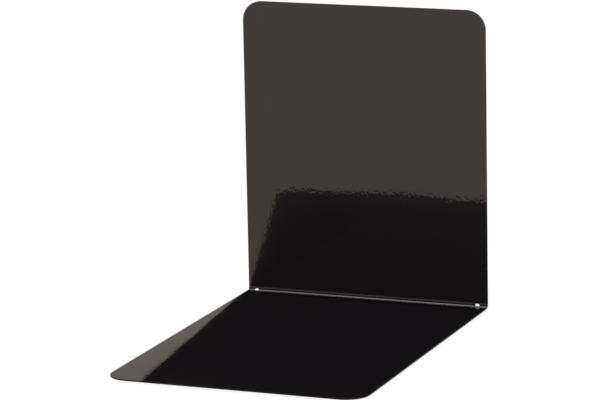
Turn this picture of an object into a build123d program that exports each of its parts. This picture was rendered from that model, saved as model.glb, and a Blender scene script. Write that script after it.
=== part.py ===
"""Metal book end: one folded sheet-steel plate standing on four stick-on anti-slip pads.

Frame: millimetres, +Z up, +X across the width, +Y towards the upright back plate.
The origin is under the middle of the bounding box, on the shelf surface.
"""
from build123d import *
import math
import os

# Driving dimensions
WIDTH = 120.0
DEPTH = 168.0
PLATE_HEIGHT = 140.0
SHEET_THICKNESS = 0.6
BEND_INNER_RADIUS = 1.4
TOP_CORNER_RADIUS = 9.3
FRONT_CORNER_RADIUS = 10.5

# Two small oval holes punched through the bend, one near each end. The blank carries the coating
# line's hooks there. The pair sits slightly off centre, so each end has its own setback.
BEND_HOLE_WIDTH = 2.1
BEND_HOLE_HEIGHT = 1.2
BEND_HOLE_SETBACKS = {"left": 4.1, "right": 5.1}

# Self-adhesive rubber pads under the base
PAD_DIAMETER = 10.0
PAD_THICKNESS = 1.0
PAD_CHAMFER = 0.25
PAD_SETBACK = 14.0

# Places that follow from the dimensions above
BEND_OUTER_RADIUS = BEND_INNER_RADIUS + SHEET_THICKNESS
HALF_WIDTH = WIDTH / 2
REAR_Y = DEPTH / 2
FRONT_Y = -DEPTH / 2
BASE_UNDERSIDE_Z = PAD_THICKNESS
TOP_Z = BASE_UNDERSIDE_Z + PLATE_HEIGHT
BEND_CENTRE_Y = REAR_Y - BEND_OUTER_RADIUS
BEND_CENTRE_Z = BASE_UNDERSIDE_Z + BEND_OUTER_RADIUS


def round_about_bend(radius, angle_deg):
    """Point (y, z) on a circle about the bend's centre line, 0 degrees towards +Y."""
    angle = math.radians(angle_deg)
    return BEND_CENTRE_Y + radius * math.cos(angle), BEND_CENTRE_Z + radius * math.sin(angle)


def folded_sheet():
    """L-shaped sheet of constant thickness: base, quarter-round bend and upright back plate."""
    inner_y = REAR_Y - SHEET_THICKNESS
    inner_z = BASE_UNDERSIDE_Z + SHEET_THICKNESS
    with BuildPart() as sheet:
        with BuildSketch(Plane.YZ):
            with BuildLine():
                Line((FRONT_Y, BASE_UNDERSIDE_Z), (BEND_CENTRE_Y, BASE_UNDERSIDE_Z))
                ThreePointArc(
                    (BEND_CENTRE_Y, BASE_UNDERSIDE_Z),
                    round_about_bend(BEND_OUTER_RADIUS, -45),
                    (REAR_Y, BEND_CENTRE_Z),
                )
                Line((REAR_Y, BEND_CENTRE_Z), (REAR_Y, TOP_Z))
                Line((REAR_Y, TOP_Z), (inner_y, TOP_Z))
                Line((inner_y, TOP_Z), (inner_y, BEND_CENTRE_Z))
                ThreePointArc(
                    (inner_y, BEND_CENTRE_Z),
                    round_about_bend(BEND_INNER_RADIUS, -45),
                    (BEND_CENTRE_Y, inner_z),
                )
                Line((BEND_CENTRE_Y, inner_z), (FRONT_Y, inner_z))
                Line((FRONT_Y, inner_z), (FRONT_Y, BASE_UNDERSIDE_Z))
            make_face()
        extrude(amount=HALF_WIDTH, both=True)
        fillet(sheet.edges().filter_by(Axis.Y).group_by(Axis.Z)[-1], TOP_CORNER_RADIUS)
        fillet(sheet.edges().filter_by(Axis.Z).group_by(Axis.Y)[0], FRONT_CORNER_RADIUS)
    return sheet.part


def bend_hole_cutter(x):
    """Oval prism square to the middle of the bend, long enough to pass right through the sheet."""
    mid_radius = (BEND_INNER_RADIUS + BEND_OUTER_RADIUS) / 2
    y, z = round_about_bend(mid_radius, -45)
    place = Plane(origin=(x, y, z), x_dir=(1, 0, 0), z_dir=(0, 1, -1))
    oval = place * Ellipse(BEND_HOLE_WIDTH / 2, BEND_HOLE_HEIGHT / 2)
    return extrude(oval, amount=2 * SHEET_THICKNESS, both=True)


def folded_plate():
    """The painted steel plate: folded sheet with rounded outer corners and two bend holes."""
    plate = folded_sheet()
    plate -= bend_hole_cutter(-HALF_WIDTH + BEND_HOLE_SETBACKS["left"])
    plate -= bend_hole_cutter(HALF_WIDTH - BEND_HOLE_SETBACKS["right"])
    return plate


def antislip_pad(x, y):
    """Round rubber pad stuck to the underside, its lower rim chamfered where it meets the shelf."""
    disc = Cylinder(PAD_DIAMETER / 2, PAD_THICKNESS)
    rim = disc.edges().group_by(Axis.Z)[0]
    return Pos(x, y, PAD_THICKNESS / 2) * chamfer(rim, PAD_CHAMFER)


def build_nodes():
    """Every node of the assembly, by name."""
    nodes = {"folded_plate": folded_plate()}
    pad_x = HALF_WIDTH - PAD_SETBACK
    pad_y = DEPTH / 2 - PAD_SETBACK
    for row, y in (("front", -pad_y), ("rear", pad_y)):
        for side, x in (("left", -pad_x), ("right", pad_x)):
            nodes[f"antislip_pad_{row}_{side}"] = antislip_pad(x, y)
    return nodes


os.makedirs("parts", exist_ok=True)
for name, solid in build_nodes().items():
    export_step(solid, f"parts/{name}.step")
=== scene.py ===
import math

import bpy
from mathutils import Matrix, Vector


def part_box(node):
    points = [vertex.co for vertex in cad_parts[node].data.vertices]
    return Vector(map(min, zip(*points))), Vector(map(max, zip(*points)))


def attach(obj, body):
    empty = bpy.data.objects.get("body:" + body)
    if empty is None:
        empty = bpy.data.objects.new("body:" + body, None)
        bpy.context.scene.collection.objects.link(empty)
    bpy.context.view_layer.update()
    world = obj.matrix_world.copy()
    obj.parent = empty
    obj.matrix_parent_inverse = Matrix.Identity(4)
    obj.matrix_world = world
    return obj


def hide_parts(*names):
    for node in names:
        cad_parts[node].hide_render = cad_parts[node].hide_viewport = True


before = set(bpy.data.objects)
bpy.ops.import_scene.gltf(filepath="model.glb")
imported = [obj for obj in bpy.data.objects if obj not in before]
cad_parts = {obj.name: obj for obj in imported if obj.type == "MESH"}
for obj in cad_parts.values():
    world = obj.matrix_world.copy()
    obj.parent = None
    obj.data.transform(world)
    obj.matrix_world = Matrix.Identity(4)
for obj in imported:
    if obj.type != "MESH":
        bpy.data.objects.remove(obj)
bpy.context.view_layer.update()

MM = 0.001

# The sheet, as the CAD has it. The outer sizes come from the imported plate.
PLATE_LOW, PLATE_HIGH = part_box("folded_plate")
WIDTH, DEPTH, HEIGHT = PLATE_HIGH - PLATE_LOW
SHEET_THICKNESS = 0.6 * MM
TOP_CORNER_RADIUS = 9.3 * MM
FRONT_CORNER_RADIUS = 10.5 * MM
BEND_HOLE_HALF_WIDTH = 1.05 * MM
BEND_HOLE_HALF_HEIGHT = 0.64 * MM
BEND_HOLE_SETBACKS = {"left": 4.1 * MM, "right": 5.1 * MM}
BEND_HOLE_RISES = {"left": -0.56 * MM, "right": 0.05 * MM}

# The bend from base to back plate, as (sweep in degrees, inside radius) pieces: tight at the base, a
# short flatter facet, tight again, and then easing off up the plate.
BEND_PIECES = ((38, 0.3 * MM), (8, 3.0 * MM), (24, 0.5 * MM), (20, 4.0 * MM))
BEND_ROWS = 5

# Waves left by rolling: (height, length, heading in radians, phase)
WAVES = (
    (0.010 * MM, 71 * MM, 0.6, 0.4),
    (0.007 * MM, 43 * MM, 1.9, 2.1),
    (0.004 * MM, 29 * MM, 0.2, 4.0),
)

# How paint softens every cut edge
EDGE_RADIUS = 0.10 * MM
EDGE_STEPS = 5
EDGE_SUPPORT = 0.08 * MM

# Developed (unfolded) blank: length s runs from the front edge, over the bend, to the top edge
HALF_SHEET = SHEET_THICKNESS / 2
HALF_WIDTH = WIDTH / 2


def bend_walk(length):
    """Where the bend's middle surface is, length along it from the base: (forward, up, turn)."""
    forward = up = turn = 0.0
    for sweep, inside_radius in BEND_PIECES:
        radius = inside_radius + HALF_SHEET
        step = min(length / radius, math.radians(sweep))
        forward += radius * (math.sin(turn + step) - math.sin(turn))
        up += radius * (math.cos(turn) - math.cos(turn + step))
        turn += step
        length -= step * radius
    return forward, up, turn


ARC_LENGTH = sum(math.radians(sweep) * (radius + HALF_SHEET) for sweep, radius in BEND_PIECES)
BEND_FORWARD, BEND_UP, _ = bend_walk(ARC_LENGTH)
BASE_LENGTH = DEPTH - HALF_SHEET - BEND_FORWARD
BACK_LENGTH = HEIGHT - HALF_SHEET - BEND_UP
BLANK_LENGTH = BASE_LENGTH + ARC_LENGTH + BACK_LENGTH
BEND_MIDDLE = BASE_LENGTH + ARC_LENGTH / 2

# Mesh density
CELL = 3.0 * MM
CORNER_STEPS = 12
HOLE_BLOCK = 1.6 * MM
HOLE_COLUMNS = 8
HOLE_MARGIN = 0.5 * MM
MARGIN_ROWS = 2
HOLE_ROWS = BEND_ROWS * len(BEND_PIECES) + MARGIN_ROWS
HOLE_RINGS = 2


def evenly(start, end, step):
    """Values from start to end, both included, no more than step apart."""
    count = max(1, math.ceil(abs(end - start) / step))
    return [start + (end - start) * k / count for k in range(count + 1)]


def joined(*runs):
    """Runs of values end to end, with each shared end kept once."""
    values = list(runs[0])
    for run in runs[1:]:
        values += run[1:]
    return values


# ---------------------------------------------------------------- folded plate


def hole_centres():
    """Centres (x, s) of the two bend holes on the blank."""
    return [
        (-HALF_WIDTH + BEND_HOLE_SETBACKS["left"], BEND_MIDDLE + BEND_HOLE_RISES["left"]),
        (HALF_WIDTH - BEND_HOLE_SETBACKS["right"], BEND_MIDDLE + BEND_HOLE_RISES["right"]),
    ]


def column_places():
    """Grid columns across the blank, closer together at the two holes."""
    runs = []
    start = -HALF_WIDTH
    for centre, _ in hole_centres():
        runs.append(evenly(start, centre - HOLE_BLOCK, CELL))
        runs.append(evenly(centre - HOLE_BLOCK, centre + HOLE_BLOCK, 2 * HOLE_BLOCK / HOLE_COLUMNS))
        start = centre + HOLE_BLOCK
    runs.append(evenly(start, HALF_WIDTH, CELL))
    return joined(*runs)


def bend_places():
    """Grid rows round the bend, the same number in each of its pieces."""
    runs, start = [], BASE_LENGTH
    for sweep, radius in BEND_PIECES:
        length = math.radians(sweep) * (radius + HALF_SHEET)
        runs.append([start + length * k / BEND_ROWS for k in range(BEND_ROWS + 1)])
        start += length
    return joined(*runs)


def row_places():
    """Grid rows along the blank between its rounded ends, closer together round the bend."""
    support = EDGE_SUPPORT
    bend_start, bend_end = BASE_LENGTH, BASE_LENGTH + ARC_LENGTH
    return joined(
        evenly(FRONT_CORNER_RADIUS, bend_start - HOLE_MARGIN, CELL),
        [bend_start - HOLE_MARGIN, bend_start - support, bend_start],
        bend_places(),
        [bend_end, bend_end + support],
        evenly(bend_end + support, BLANK_LENGTH - TOP_CORNER_RADIUS, CELL),
    )


COLUMNS = column_places()
STRAIGHT_ROWS = row_places()
ROW_COUNT = len(STRAIGHT_ROWS) + 2 * CORNER_STEPS


def blank_point(row, column, inset):
    """Point (x, s) of the blank's grid when its outline is drawn in by inset."""
    share = COLUMNS[column] / HALF_WIDTH
    last = ROW_COUNT - 1
    if row < CORNER_STEPS:
        turn = math.pi / 2 * row / CORNER_STEPS
        reach = FRONT_CORNER_RADIUS - inset
        s = FRONT_CORNER_RADIUS - reach * math.cos(turn)
        half = HALF_WIDTH - FRONT_CORNER_RADIUS + reach * math.sin(turn)
    elif row > last - CORNER_STEPS:
        turn = math.pi / 2 * (last - row) / CORNER_STEPS
        reach = TOP_CORNER_RADIUS - inset
        s = BLANK_LENGTH - TOP_CORNER_RADIUS + reach * math.cos(turn)
        half = HALF_WIDTH - TOP_CORNER_RADIUS + reach * math.sin(turn)
    else:
        s = STRAIGHT_ROWS[row - CORNER_STEPS]
        half = HALF_WIDTH - inset
    return share * half, s


def waviness(x, s):
    """How far the sheet strays from flat, in metres: a few long, low waves left by rolling."""
    return sum(
        height * math.sin(2 * math.pi * (x * math.cos(heading) + s * math.sin(heading)) / length + phase)
        for height, length, heading, phase in WAVES
    )


def folded(x, s, height):
    """Takes a point of the flat blank, height above its middle surface, to its place in the part."""
    height += waviness(x, s)
    along_base = min(s, BASE_LENGTH)
    forward, up, turn = bend_walk(min(max(0.0, s - BASE_LENGTH), ARC_LENGTH))
    up_back = max(0.0, s - BASE_LENGTH - ARC_LENGTH)
    y = PLATE_LOW.y + along_base + forward - height * math.sin(turn)
    z = PLATE_LOW.z + HALF_SHEET + up + up_back + height * math.cos(turn)
    return Vector((x, y, z))


def edge_profile():
    """Steps (inset, height) over a painted edge, from the book side to the underside."""
    steps = [(EDGE_RADIUS, HALF_SHEET)]
    for k in range(1, EDGE_STEPS + 1):
        turn = math.pi / 2 * k / EDGE_STEPS
        steps.append((EDGE_RADIUS * (1 - math.sin(turn)), HALF_SHEET - EDGE_RADIUS * (1 - math.cos(turn))))
    return steps + [(inset, -height) for inset, height in reversed(steps)]


class PlateMesh:
    """Collects the vertices and faces of the folded plate."""

    def __init__(self):
        self.points = []
        self.faces = []

    def add(self, x, s, height):
        self.points.append(folded(x, s, height))
        return len(self.points) - 1

    def strip(self, ring_a, ring_b):
        """Quads between two closed rings of the same length."""
        count = len(ring_a)
        for k in range(count):
            after = (k + 1) % count
            self.faces.append((ring_a[k], ring_a[after], ring_b[after], ring_b[k]))

    def sheet_face(self, height, holes, flip):
        """One broad face of the sheet as a grid with a gap at each hole. Returns the grid."""
        inset = EDGE_RADIUS + EDGE_SUPPORT
        grid = [
            [self.add(*blank_point(row, column, inset), height) for column in range(len(COLUMNS))]
            for row in range(ROW_COUNT)
        ]
        for row in range(ROW_COUNT - 1):
            for column in range(len(COLUMNS) - 1):
                if any(hole.holds(row, column) for hole in holes):
                    continue
                face = (
                    grid[row][column],
                    grid[row][column + 1],
                    grid[row + 1][column + 1],
                    grid[row + 1][column],
                )
                self.faces.append(face[::-1] if flip else face)
        return grid


class Hole:
    """One bend hole, set in a block of the grid."""

    def __init__(self, centre):
        self.centre = Vector(centre)
        self.first_column = min(
            range(len(COLUMNS)), key=lambda k: abs(COLUMNS[k] - (self.centre.x - HOLE_BLOCK))
        )
        nearest = min(range(len(STRAIGHT_ROWS)), key=lambda k: abs(STRAIGHT_ROWS[k] - BASE_LENGTH))
        self.first_row = nearest + CORNER_STEPS - MARGIN_ROWS

    def holds(self, row, column):
        """True for a grid cell that the hole's own rings replace."""
        in_rows = self.first_row <= row < self.first_row + HOLE_ROWS
        in_columns = self.first_column <= column < self.first_column + HOLE_COLUMNS
        return in_rows and in_columns

    def border(self):
        """Grid places (row, column) round the block, anticlockwise seen from the book side."""
        rows, columns = HOLE_ROWS, HOLE_COLUMNS
        low = [(0, k) for k in range(columns)]
        right = [(k, columns) for k in range(rows)]
        high = [(rows, columns - k) for k in range(columns)]
        left = [(rows - k, 0) for k in range(rows)]
        return [(self.first_row + r, self.first_column + c) for r, c in low + right + high + left]

    def ring(self, mesh, outset, height, blend=1.0):
        """Ring of vertices: the oval, outset by a margin, at blend 1, the block's border at blend 0."""
        made = []
        for row, column in self.border():
            x, s = blank_point(row, column, EDGE_RADIUS + EDGE_SUPPORT)
            away = Vector((x, s)) - self.centre
            aim = away.normalized()
            wide, tall = BEND_HOLE_HALF_WIDTH + outset, BEND_HOLE_HALF_HEIGHT + outset
            spot = away.lerp(Vector((aim.x * wide, aim.y * tall)), blend)
            made.append(mesh.add(self.centre.x + spot.x, self.centre.y + spot.y, height))
        return made


def grid_border(grid):
    """Vertices round a whole grid, anticlockwise seen from the book side, with their places."""
    last_row, last_column = len(grid) - 1, len(grid[0]) - 1
    places = [(0, k) for k in range(last_column)]
    places += [(k, last_column) for k in range(last_row)]
    places += [(last_row, last_column - k) for k in range(last_column)]
    places += [(last_row - k, 0) for k in range(last_row)]
    return places, [grid[row][column] for row, column in places]


def plate_mesh():
    """The folded plate: two broad faces, softened outline, and two softened holes in the bend."""
    mesh = PlateMesh()
    holes = [Hole(centre) for centre in hole_centres()]
    upper = mesh.sheet_face(HALF_SHEET, holes, flip=False)
    lower = mesh.sheet_face(-HALF_SHEET, holes, flip=True)
    places, ring = grid_border(upper)
    for inset, height in edge_profile():
        following = [mesh.add(*blank_point(row, column, inset), height) for row, column in places]
        mesh.strip(following, ring)
        ring = following
    mesh.strip(grid_border(lower)[1], ring)
    for hole in holes:
        add_hole(mesh, hole, upper, lower)
    return mesh


def add_hole(mesh, hole, upper, lower):
    """Joins the two broad faces through one hole, with a softened rim on each side."""
    wide = EDGE_RADIUS + EDGE_SUPPORT
    ring = [upper[row][column] for row, column in hole.border()]
    steps = [(wide, HALF_SHEET, (k + 1) / (HOLE_RINGS + 1)) for k in range(HOLE_RINGS + 1)]
    steps += [(inset, height, 1.0) for inset, height in edge_profile()]
    steps += [(wide, -HALF_SHEET, 1 - k / (HOLE_RINGS + 1)) for k in range(HOLE_RINGS + 1)]
    for outset, height, blend in steps:
        following = hole.ring(mesh, outset, height, blend)
        mesh.strip(ring, following)
        ring = following
    mesh.strip(ring, [lower[row][column] for row, column in hole.border()])


def new_object(name, points, faces, material):
    """Makes a smooth-shaded mesh object in the scene."""
    data = bpy.data.meshes.new(name)
    data.from_pydata(points, [], faces)
    data.validate()
    data.shade_smooth()
    data.materials.append(material)
    thing = bpy.data.objects.new(name, data)
    bpy.context.collection.objects.link(thing)
    return thing


# ---------------------------------------------------------------- anti-slip pads


PAD_FILM_THICKNESS = 0.12 * MM
PAD_FILM_INSET = 0.15 * MM
PAD_BEVEL = 0.05 * MM
PAD_RIM_RADIUS = 0.3 * MM
PAD_CROWN = 0.03 * MM
PAD_SEGMENTS = 64
PAD_RIM_STEPS = 6
PAD_FACE_RINGS = 4


def pad_profile(radius, top, bottom):
    """Half outline (radius, z, is_film) of a pad, from the middle of its top to its underside."""
    film_bottom = top - PAD_FILM_THICKNESS
    film_radius = radius - PAD_FILM_INSET
    outline = [(0.0, top, True), (film_radius * 0.5, top, True), (film_radius, top, True)]
    outline += [(film_radius, film_bottom, True), (radius - PAD_BEVEL, film_bottom, False)]
    outline += [(radius, film_bottom - PAD_BEVEL, False), (radius, bottom + PAD_RIM_RADIUS, False)]
    for k in range(1, PAD_RIM_STEPS + 1):
        turn = math.pi / 2 * k / PAD_RIM_STEPS
        out = radius - PAD_RIM_RADIUS * (1 - math.cos(turn))
        down = bottom + PAD_CROWN + (PAD_RIM_RADIUS - PAD_CROWN) * (1 - math.sin(turn))
        outline.append((out, down, False))
    face_radius = radius - PAD_RIM_RADIUS
    for k in range(1, PAD_FACE_RINGS + 1):
        share = 1 - k / PAD_FACE_RINGS
        outline.append((face_radius * share, bottom + PAD_CROWN * share**2, False))
    return outline


def pad_piece(node, film, rubber):
    """A round stick-on pad: a rubber disc with a soft rim, and its film of adhesive on top."""
    low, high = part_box(node)
    centre = (low + high) / 2
    outline = pad_profile((high.x - low.x) / 2, high.z, low.z)
    points, faces, film_faces = [], [], []
    rings = []
    for radius, z, is_film in outline:
        count = PAD_SEGMENTS if radius > 0 else 1
        ring = []
        for k in range(count):
            turn = 2 * math.pi * k / count
            points.append((centre.x + radius * math.cos(turn), centre.y + radius * math.sin(turn), z))
            ring.append(len(points) - 1)
        rings.append((ring, is_film))
    for (ring, _), (following, is_film) in zip(rings, rings[1:]):
        for k in range(PAD_SEGMENTS):
            after = (k + 1) % PAD_SEGMENTS
            a, b = ring[k % len(ring)], ring[after % len(ring)]
            c, d = following[after % len(following)], following[k % len(following)]
            corners = list(dict.fromkeys((b, a, d, c)))
            faces.append(corners)
            film_faces.append(is_film)
    pad = new_object(node.replace("antislip_pad", "rubber_pad"), points, faces, rubber)
    pad.data.materials.append(film)
    for face, is_film in zip(pad.data.polygons, film_faces):
        face.material_index = 1 if is_film else 0
    return pad


# ---------------------------------------------------------------- materials


# The middle of a noise's range, which nearly all of its values fall in
NOISE_LOW = 0.3
NOISE_HIGH = 0.7


class Nodes:
    """A material's node tree, with short ways to add and join nodes."""

    def __init__(self, name):
        self.material = bpy.data.materials.new(name)
        self.material.use_nodes = True
        self.tree = self.material.node_tree
        self.shader = self.tree.nodes["Principled BSDF"]

    def add(self, kind, **settings):
        node = self.tree.nodes.new(kind)
        for key, value in settings.items():
            setattr(node, key, value)
        return node

    def join(self, source, output, target, socket):
        self.tree.links.new(source.outputs[output], target.inputs[socket])

    def noise(self, size, detail=2.0):
        """Noise whose lumps are about size metres across, fixed to the object."""
        place = self.add("ShaderNodeTexCoord")
        noise = self.add("ShaderNodeTexNoise")
        noise.inputs["Scale"].default_value = 1 / size
        noise.inputs["Detail"].default_value = detail
        self.join(place, "Object", noise, "Vector")
        return noise

    def ramp(self, source, low, high):
        """Colour ramp from low to high over the middle of a noise."""
        ramp = self.add("ShaderNodeValToRGB")
        ramp.color_ramp.elements[0].position = NOISE_LOW
        ramp.color_ramp.elements[0].color = (*low, 1)
        ramp.color_ramp.elements[1].position = NOISE_HIGH
        ramp.color_ramp.elements[1].color = (*high, 1)
        self.join(source, "Fac", ramp, "Fac")
        return ramp

    def spread(self, source, low, high):
        """Plain number from low to high over the middle of a noise."""
        spread = self.add("ShaderNodeMapRange")
        spread.inputs["From Min"].default_value = NOISE_LOW
        spread.inputs["From Max"].default_value = NOISE_HIGH
        spread.inputs["To Min"].default_value = low
        spread.inputs["To Max"].default_value = high
        self.join(source, "Fac", spread, "Value")
        return spread

    def bump(self, source, height, under=None):
        """Bump of the given full height in metres, on top of another bump if one is given."""
        bump = self.add("ShaderNodeBump")
        bump.inputs["Strength"].default_value = 1.0
        bump.inputs["Distance"].default_value = height
        self.join(source, "Fac", bump, "Height")
        if under:
            self.join(under, "Normal", bump, "Normal")
        return bump


PAINT_IOR = 1.5
PAINT_SPECULAR = 0.42
HAZE_WEIGHT = 0.2
HAZE_ROUGHNESS = 0.17
PAINT_TINTS = ((0.0055, 0.0048, 0.0077), (0.0066, 0.0058, 0.0089))
PAINT_ROUGHNESS = (0.026, 0.040)
SWELL_SIZE = 5.0 * MM
SWELL_HEIGHT = 0.003 * MM
PEEL_SIZE = 1.2 * MM
PEEL_HEIGHT = 0.0090 * MM


def black_paint():
    """Gloss black stoved paint: deep black, faint cloudiness, a fine orange peel and a thin haze."""
    nodes = Nodes("gloss_black_paint")
    shader = nodes.shader
    shader.inputs["IOR"].default_value = PAINT_IOR
    shader.inputs["Specular IOR Level"].default_value = PAINT_SPECULAR
    shader.inputs["Coat Weight"].default_value = HAZE_WEIGHT
    shader.inputs["Coat Roughness"].default_value = HAZE_ROUGHNESS
    shader.inputs["Coat IOR"].default_value = PAINT_IOR
    tint = nodes.ramp(nodes.noise(18 * MM), *PAINT_TINTS)
    nodes.join(tint, "Color", shader, "Base Color")
    gloss = nodes.spread(nodes.noise(9 * MM, detail=4), *PAINT_ROUGHNESS)
    nodes.join(gloss, "Result", shader, "Roughness")
    swell = nodes.bump(nodes.noise(SWELL_SIZE, detail=1), SWELL_HEIGHT)
    peel = nodes.bump(nodes.noise(PEEL_SIZE, detail=0), PEEL_HEIGHT, under=swell)
    nodes.join(peel, "Normal", shader, "Normal")
    return nodes.material


def pad_rubber():
    """Matt dark grey rubber with a fine grain and a little dust."""
    nodes = Nodes("pad_rubber")
    shader = nodes.shader
    tint = nodes.ramp(nodes.noise(1.5 * MM, detail=4), (0.030, 0.030, 0.031), (0.050, 0.050, 0.049))
    nodes.join(tint, "Color", shader, "Base Color")
    rough = nodes.spread(nodes.noise(0.8 * MM, detail=3), 0.75, 0.92)
    nodes.join(rough, "Result", shader, "Roughness")
    grain = nodes.bump(nodes.noise(0.25 * MM, detail=3), 0.02 * MM)
    nodes.join(grain, "Normal", shader, "Normal")
    return nodes.material


def adhesive_film():
    """Pale, slightly cloudy adhesive film between pad and paint."""
    nodes = Nodes("adhesive_film")
    shader = nodes.shader
    tint = nodes.ramp(nodes.noise(0.9 * MM), (0.50, 0.49, 0.45), (0.62, 0.61, 0.57))
    nodes.join(tint, "Color", shader, "Base Color")
    rough = nodes.spread(nodes.noise(0.6 * MM), 0.35, 0.5)
    nodes.join(rough, "Result", shader, "Roughness")
    return nodes.material


# ---------------------------------------------------------------- stage, light and camera


FLOOR_SIZE = 12.0
FLOOR_GLOW = (1.165, 1.015, 0.885)
FLOOR_WHITE = 0.90
FLOOR_SHADE = 0.25

# Surroundings by height: (sine of the elevation, colour), in front of the plate and behind it.
# The two halves blend where a direction's y is within SIDE_BLEND of 0.
SIDE_BLEND = 0.1
WALL_BACK = (0.432, 0.386, 0.349)
WALL_FRONT = (0.34, 0.30, 0.28)
STRIP_LIGHT = (1.0, 0.88, 0.80)
GLOOM = (0.06, 0.052, 0.048)
TOP_LIGHT = (4.6, 4.3, 4.1)
FRONT_STOPS = (
    (0.00, STRIP_LIGHT), (0.09, STRIP_LIGHT), (0.12, WALL_FRONT), (0.30, WALL_FRONT),
    (0.36, GLOOM), (0.885, GLOOM), (0.905, TOP_LIGHT),
)
CEILING = (0.09, 0.085, 0.09)
BACK_STOPS = ((0.00, WALL_BACK), (0.32, WALL_BACK), (0.40, CEILING))

# Painted shadow: a dark card on the floor, seen only in reflections, in the shape of the back plate's
# shadow cast by a light from behind. Its straight left side runs forward from the back plate and spreads
# outwards, softer the further it goes, to a rounded corner.
PAINTED_FLOOR_SHADOW_GAP = 1 * MM
PAINTED_FLOOR_SHADOW_LEFT_OVERHANG = 1 * MM
PAINTED_FLOOR_SHADOW_RIGHT_OVERHANG = 2 * MM
PAINTED_FLOOR_SHADOW_REACH = 224.6 * MM
PAINTED_FLOOR_SHADOW_SPREAD = 0.328
PAINTED_FLOOR_SHADOW_RADIUS = 10 * MM
PAINTED_FLOOR_SHADOW_STEPS = 8
PAINTED_FLOOR_SHADOW_PLATE_SOFT = 0.05 * MM
PAINTED_FLOOR_SHADOW_SIDE_SOFT = 1.2 * MM
PAINTED_FLOOR_SHADOW_FRONT_SOFT = 0.8 * MM
PAINTED_FLOOR_SHADOW_LIFT = 0.2 * MM
# painted shadow: how dark the back plate's shadow on the floor shows in the plate's reflection
PAINTED_FLOOR_SHADOW_DARK = (0.086, 0.076, 0.071)

# Painted dark reflection: low dark cards standing across the base, seen only in its reflection, that
# darken the base right of a slanted line. Their dark edges start on a slanted line and lean out as
# they rise. A taller card beside the back plate carries the line on.
PAINTED_REFLECTION_PLACES = (-66 * MM, -46 * MM, -22 * MM, 5 * MM, 32 * MM, 58 * MM, 80 * MM)
PAINTED_REFLECTION_START = -51.1 * MM
PAINTED_REFLECTION_LEAN = 0.1150
PAINTED_REFLECTION_RAKE = 1.14
PAINTED_REFLECTION_RISE = 0.34
PAINTED_REFLECTION_WIDTH = 5 * MM
# painted dark reflection: how dark the cards show in the base's reflection
PAINTED_REFLECTION_DARK = (0.0165, 0.0148, 0.0142)
PAINTED_REFLECTION_SOFT = 0.1 * MM
PAINTED_REFLECTION_SOFT_END = 1.5 * MM
SIDE_PAINTED_REFLECTION_Y = 85 * MM
SIDE_PAINTED_REFLECTION_START = -60.6 * MM
SIDE_PAINTED_REFLECTION_END = -59.9 * MM
SIDE_PAINTED_REFLECTION_BOTTOM = 1 * MM
SIDE_PAINTED_REFLECTION_TOP = 64 * MM

# A painted dark card's soft edge is never wider at a corner than its softness divided by this
MITRE_LIMIT = 0.3

CAMERA_AZIMUTH = 21.762
CAMERA_ELEVATION = 12.334
CAMERA_ROLL = -1.131
CAMERA_DISTANCE = 1.53101
CAMERA_AIM = (0.639 * MM, -0.648 * MM, 66.667 * MM)
CAMERA_LENS = 206.481
CAMERA_SENSOR = 36


def height_ramp(tree, height, stops):
    """Colour ramp up the surroundings."""
    ramp = tree.nodes.new("ShaderNodeValToRGB")
    elements = ramp.color_ramp.elements
    while len(elements) < len(stops):
        elements.new(1.0)
    for element, (position, colour) in zip(elements, stops):
        element.position = position
        element.color = (*colour, 1)
    tree.links.new(height, ramp.inputs["Fac"])
    return ramp.outputs["Color"]


def sky():
    """Studio surroundings: pale walls, a low strip light in front and a broad light overhead.

    The camera itself sees plain white, like the floor."""
    world = bpy.data.worlds.new("studio")
    bpy.context.scene.world = world
    world.use_nodes = True
    tree = world.node_tree
    direction = tree.nodes.new("ShaderNodeTexCoord")
    split = tree.nodes.new("ShaderNodeSeparateXYZ")
    tree.links.new(direction.outputs["Generated"], split.inputs["Vector"])
    side = tree.nodes.new("ShaderNodeMapRange")
    side.inputs["From Min"].default_value = -SIDE_BLEND
    side.inputs["From Max"].default_value = SIDE_BLEND
    tree.links.new(split.outputs["Y"], side.inputs["Value"])
    room = tree.nodes.new("ShaderNodeMix")
    room.data_type = "RGBA"
    tree.links.new(side.outputs["Result"], room.inputs["Factor"])
    tree.links.new(height_ramp(tree, split.outputs["Z"], FRONT_STOPS), room.inputs["A"])
    tree.links.new(height_ramp(tree, split.outputs["Z"], BACK_STOPS), room.inputs["B"])
    seen = tree.nodes.new("ShaderNodeMix")
    seen.data_type = "RGBA"
    seen.inputs["B"].default_value = (1, 1, 1, 1)
    rays = tree.nodes.new("ShaderNodeLightPath")
    tree.links.new(rays.outputs["Is Camera Ray"], seen.inputs["Factor"])
    tree.links.new(room.outputs["Result"], seen.inputs["A"])
    tree.links.new(seen.outputs["Result"], tree.nodes["Background"].inputs["Color"])


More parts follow.
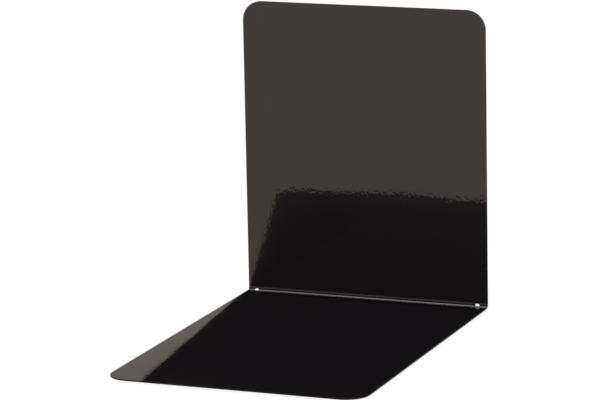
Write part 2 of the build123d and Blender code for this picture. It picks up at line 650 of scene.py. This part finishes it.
def floor():
    """Plain floor: to the camera a clean white with a faint shadow at the pads, to the paint a warm glow."""
    nodes = Nodes("floor")
    glow = nodes.add("ShaderNodeEmission")
    glow.inputs["Color"].default_value = (*FLOOR_GLOW, 1)
    white = nodes.add("ShaderNodeEmission")
    white.inputs["Strength"].default_value = FLOOR_WHITE
    shade = nodes.add("ShaderNodeBsdfDiffuse")
    shade.inputs["Color"].default_value = (FLOOR_SHADE, FLOOR_SHADE, FLOOR_SHADE, 1)
    both = nodes.add("ShaderNodeAddShader")
    rays = nodes.add("ShaderNodeLightPath")
    pick = nodes.add("ShaderNodeMixShader")
    nodes.tree.links.new(white.outputs[0], both.inputs[0])
    nodes.tree.links.new(shade.outputs[0], both.inputs[1])
    nodes.join(rays, "Is Camera Ray", pick, 0)
    nodes.tree.links.new(glow.outputs[0], pick.inputs[1])
    nodes.tree.links.new(both.outputs[0], pick.inputs[2])
    nodes.tree.links.new(pick.outputs[0], nodes.tree.nodes["Material Output"].inputs["Surface"])
    half = FLOOR_SIZE / 2
    corners = [(-half, -half, 0), (half, -half, 0), (half, half, 0), (-half, half, 0)]
    new_object("floor", corners, [(0, 1, 2, 3)], nodes.material)


def painted_dark_card_material(name, radiance, one_sided):
    """Even dark emission for painted shadow and painted reflection, that fades out where the card's vertex
    cover falls to zero.
    """
    nodes = Nodes(name)
    painted_dark = nodes.add("ShaderNodeEmission")
    painted_dark.inputs["Color"].default_value = (*radiance, 1)
    clear = nodes.add("ShaderNodeBsdfTransparent")
    cover = nodes.add("ShaderNodeVertexColor", layer_name="cover")
    mix = nodes.add("ShaderNodeMixShader")
    nodes.join(cover, "Color", mix, 0)
    nodes.tree.links.new(clear.outputs[0], mix.inputs[1])
    nodes.tree.links.new(painted_dark.outputs[0], mix.inputs[2])
    surface = nodes.tree.nodes["Material Output"].inputs["Surface"]
    nodes.tree.links.new(mix.outputs[0], surface)
    if one_sided:
        sides = nodes.add("ShaderNodeNewGeometry")
        choice = nodes.add("ShaderNodeMixShader")
        nodes.join(sides, "Backfacing", choice, 0)
        nodes.tree.links.new(mix.outputs[0], choice.inputs[1])
        nodes.tree.links.new(clear.outputs[0], choice.inputs[2])
        nodes.tree.links.new(choice.outputs[0], surface)
    return nodes.material


def painted_dark_card(name, outline, soft, place, radiance, one_sided=False):
    """Dark card seen only in reflections, for painted shadow and painted reflection. Its edge fades over
    soft[k] to each side of point k.
    """
    count = len(outline)
    inner, outer = [], []
    for k in range(count):
        before, here, after = (Vector(outline[(k + step) % count]) for step in (-1, 0, 1))
        sides = [(here - before).normalized(), (after - here).normalized()]
        normals = [Vector((side.y, -side.x)) for side in sides]
        out = (normals[0] + normals[1]).normalized()
        out /= max(MITRE_LIMIT, out.dot(normals[0]))
        inner.append(here - out * soft[k])
        outer.append(here + out * soft[k])
    points = [place(*spot) for spot in inner + outer]
    faces = [tuple(range(count))]
    for k in range(count):
        after = (k + 1) % count
        faces.append((k, count + k, count + after, after))
    card = new_object(name, points, faces, painted_dark_card_material(name, radiance, one_sided))
    cover = card.data.color_attributes.new("cover", "FLOAT_COLOR", "POINT")
    for k in range(2 * count):
        shade = 1.0 if k < count else 0.0
        cover.data[k].color = (shade, shade, shade, 1)
    # The card shows only in reflections, as painted shadow and painted reflection.
    card.visible_camera = False
    card.visible_diffuse = False
    card.visible_shadow = False
    card.visible_transmission = False


def corner_arc(before, corner, after, radius):
    """Points round a corner of an anticlockwise outline, on an arc that meets both of its sides."""
    to_before, to_after = (before - corner).normalized(), (after - corner).normalized()
    half = to_before.angle(to_after) / 2
    centre = corner + (to_before + to_after).normalized() * radius / math.sin(half)
    spoke = corner + to_before * radius / math.tan(half) - centre
    turns = [(math.pi - 2 * half) * k / PAINTED_FLOOR_SHADOW_STEPS for k in range(PAINTED_FLOOR_SHADOW_STEPS + 1)]
    return [centre + Matrix.Rotation(turn, 2) @ spoke for turn in turns]


def painted_floor_shadow():
    """Painted shadow of the back plate on the floor, out to the front left: a dark card that the back plate
    mirrors.
    """
    steps = PAINTED_FLOOR_SHADOW_STEPS
    rear = PLATE_HIGH.y - PAINTED_FLOOR_SHADOW_GAP
    front = rear - PAINTED_FLOOR_SHADOW_REACH
    left, right = -HALF_WIDTH - PAINTED_FLOOR_SHADOW_LEFT_OVERHANG, HALF_WIDTH + PAINTED_FLOOR_SHADOW_RIGHT_OVERHANG
    start = Vector((left, rear))
    corner = Vector((left - PAINTED_FLOOR_SHADOW_REACH * PAINTED_FLOOR_SHADOW_SPREAD, front))
    middle = Vector((0, front))
    arc = corner_arc(start, corner, middle, PAINTED_FLOOR_SHADOW_RADIUS)
    outline = [Vector((-HALF_WIDTH, rear))] + [start.lerp(arc[0], k / steps) for k in range(1, steps)]
    soft = [max(PAINTED_FLOOR_SHADOW_PLATE_SOFT, PAINTED_FLOOR_SHADOW_SIDE_SOFT * math.sqrt(k / steps)) for k in range(steps)]
    fade = PAINTED_FLOOR_SHADOW_SIDE_SOFT - PAINTED_FLOOR_SHADOW_FRONT_SOFT
    outline += arc
    soft += [PAINTED_FLOOR_SHADOW_SIDE_SOFT - fade * k / steps for k in range(steps + 1)]
    outline += [middle, Vector((right, PLATE_LOW.y)), Vector((right, rear))]
    soft += [PAINTED_FLOOR_SHADOW_FRONT_SOFT, PAINTED_FLOOR_SHADOW_FRONT_SOFT, PAINTED_FLOOR_SHADOW_PLATE_SOFT]
    # painted shadow: a dark card seen only in reflections
    painted_dark_card("painted_floor_shadow", outline, soft, lambda x, y: Vector((x, y, PAINTED_FLOOR_SHADOW_LIFT)), PAINTED_FLOOR_SHADOW_DARK)


def painted_reflection_card(name, y, outline, soft):
    """One dark card, standing across the base at y, that the base alone mirrors: painted dark reflection."""
    painted_dark_card(name, outline, soft, lambda x, z: Vector((x, y, z)), PAINTED_REFLECTION_DARK, one_sided=True)


def painted_reflection_cards():
    """Painted dark reflection: dark cards across the base and beside the back plate."""
    base_top = PLATE_LOW.z + SHEET_THICKNESS
    before = PLATE_LOW.y
    for y in PAINTED_REFLECTION_PLACES:
        start = PAINTED_REFLECTION_START - y * PAINTED_REFLECTION_LEAN
        end = start + PAINTED_REFLECTION_WIDTH
        height = (y - before) * PAINTED_REFLECTION_RISE
        far = start - height * PAINTED_REFLECTION_RAKE
        outline = [(start, base_top), (end, base_top), (end, base_top + height), (far, base_top + height)]
        painted_reflection_card("painted_reflection_card", y, outline, [PAINTED_REFLECTION_SOFT, PAINTED_REFLECTION_SOFT_END, PAINTED_REFLECTION_SOFT_END, PAINTED_REFLECTION_SOFT])
        before = y
    start, end = SIDE_PAINTED_REFLECTION_START, SIDE_PAINTED_REFLECTION_END
    bottom, top = SIDE_PAINTED_REFLECTION_BOTTOM, SIDE_PAINTED_REFLECTION_TOP
    outline = [(start, bottom), (end, bottom), (end, top), (start - (top - bottom) * PAINTED_REFLECTION_RAKE, top)]
    # painted dark reflection beside the back plate
    painted_reflection_card("side_painted_reflection_card", SIDE_PAINTED_REFLECTION_Y, outline, [PAINTED_REFLECTION_SOFT] * len(outline))


def camera():
    """Camera at the photograph's viewing angle."""
    azimuth, elevation = math.radians(CAMERA_AZIMUTH), math.radians(CAMERA_ELEVATION)
    back = Vector((
        math.sin(azimuth) * math.cos(elevation),
        -math.cos(azimuth) * math.cos(elevation),
        math.sin(elevation),
    ))
    eye = bpy.data.objects.new("camera", bpy.data.cameras.new("camera"))
    eye.data.lens = CAMERA_LENS
    eye.data.sensor_width = CAMERA_SENSOR
    eye.location = Vector(CAMERA_AIM) + back * CAMERA_DISTANCE
    upright = (-back).to_track_quat("-Z", "Y").to_matrix()
    eye.rotation_euler = (upright @ Matrix.Rotation(math.radians(CAMERA_ROLL), 3, "Z")).to_euler()
    bpy.context.collection.objects.link(eye)
    bpy.context.scene.camera = eye


# ---------------------------------------------------------------- scene


def build_pieces():
    """Adds the visible pieces, each riding on the frame and standing for its CAD node."""
    mesh = plate_mesh()
    plate = new_object("painted_plate", mesh.points, mesh.faces, black_paint())
    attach(plate, "root")
    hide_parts("folded_plate")
    film, rubber = adhesive_film(), pad_rubber()
    for row in ("front", "rear"):
        for side in ("left", "right"):
            node = f"antislip_pad_{row}_{side}"
            pad = pad_piece(node, film, rubber)
            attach(pad, "root")
            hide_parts(node)


build_pieces()
floor()
painted_floor_shadow()
painted_reflection_cards()
sky()
camera()
bpy.context.scene.view_settings.view_transform = "Standard"
